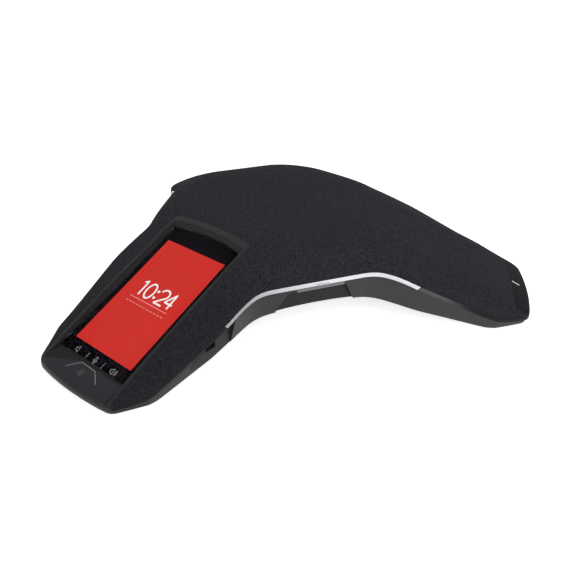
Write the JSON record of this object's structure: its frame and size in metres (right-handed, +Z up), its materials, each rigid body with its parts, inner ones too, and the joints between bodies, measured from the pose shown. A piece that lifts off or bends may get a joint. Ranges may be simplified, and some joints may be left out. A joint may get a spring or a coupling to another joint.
{
  "type": "three-armed ip conference phone",
  "caption": "Table conference phone: domed fabric-covered body with arms, a touch display along one arm, light strips under the edge and a loudspeaker in the hub",
  "frame": {"origin": "middle of the footprint's bounding box, on the table plane under the feet", "axes": "+Z up; the display arm points along -Y, with its viewer standing at -Y; +X is to the viewer's right"},
  "size_m": [0.37, 0.3256, 0.07],
  "materials": {
    "base_plastic": "fine moulded grain, warm dark grey",
    "housing_plastic": "plain moulded black",
    "acoustic_fabric": "fine dark woven acoustic mesh",
    "light_strip": "milky diffuser with a silver sheen",
    "edge_plastic": "satin black",
    "bezel_plastic": "satin dark grey",
    "cover_glass": "polished black-printed cover glass",
    "lcd_picture": "lit picture behind the glass",
    "backlight_film": "white film",
    "steel": "plated sheet steel",
    "circuit_board": "green solder mask",
    "socket_plastic": "black engineering plastic",
    "ribbon_film": "amber flexible circuit",
    "ferrite": "dark sintered ferrite",
    "copper_coil": "varnished copper winding",
    "spider_cloth": "impregnated cotton",
    "cone_paper": "coated paper pulp",
    "rubber": "soft black rubber",
    "lead_insulation": "stranded wire insulation"
  },
  "bodies": {
    "phone": {"base_housing": "base_plastic", "top_housing": "housing_plastic", "fabric_cover": "acoustic_fabric", "light_guide_right": "light_strip", "light_guide_back": "light_strip", "light_guide_left": "light_strip", "edge_trim_front": "edge_plastic", "edge_trim_right": "edge_plastic", "edge_trim_left": "edge_plastic", "display_bezel": "bezel_plastic", "display_lens": "cover_glass", "display_chin": "bezel_plastic", "lcd_panel": "lcd_picture", "lcd_backlight": "backlight_film", "lcd_backplate": "steel", "touch_key_board": "circuit_board", "end_cap_right": "edge_plastic", "end_cap_left": "edge_plastic", "led_boards": "circuit_board", "main_board": "circuit_board", "shield_can": "steel", "ethernet_jack": "steel", "usb_port": "steel", "mic_socket_right": "socket_plastic", "mic_socket_left": "socket_plastic", "mic_socket_boards": "circuit_board", "display_ribbon": "ribbon_film", "speaker_chamber": "housing_plastic", "speaker_basket": "housing_plastic", "speaker_yoke": "steel", "speaker_magnet": "ferrite", "speaker_top_plate": "steel", "speaker_spider": "spider_cloth", "speaker_surround": "rubber", "speaker_gasket": "rubber", "speaker_lead": "lead_insulation", "mic_boards": "circuit_board", "mic_boots": "rubber", "foot_front": "rubber", "foot_right": "rubber", "foot_left": "rubber", "housing_screws": "steel"},
    "cone": {"speaker_cone": "cone_paper", "dust_cap": "cone_paper", "voice_coil": "copper_coil"}
  },
  "joints": [
    {"name": "cone_travel", "type": "slide", "parent": "phone", "child": "cone", "axis": [0, 0, 1], "range_m": [-0.0015, 0.0015], "stiffness_N_per_m": 600}
  ]
}
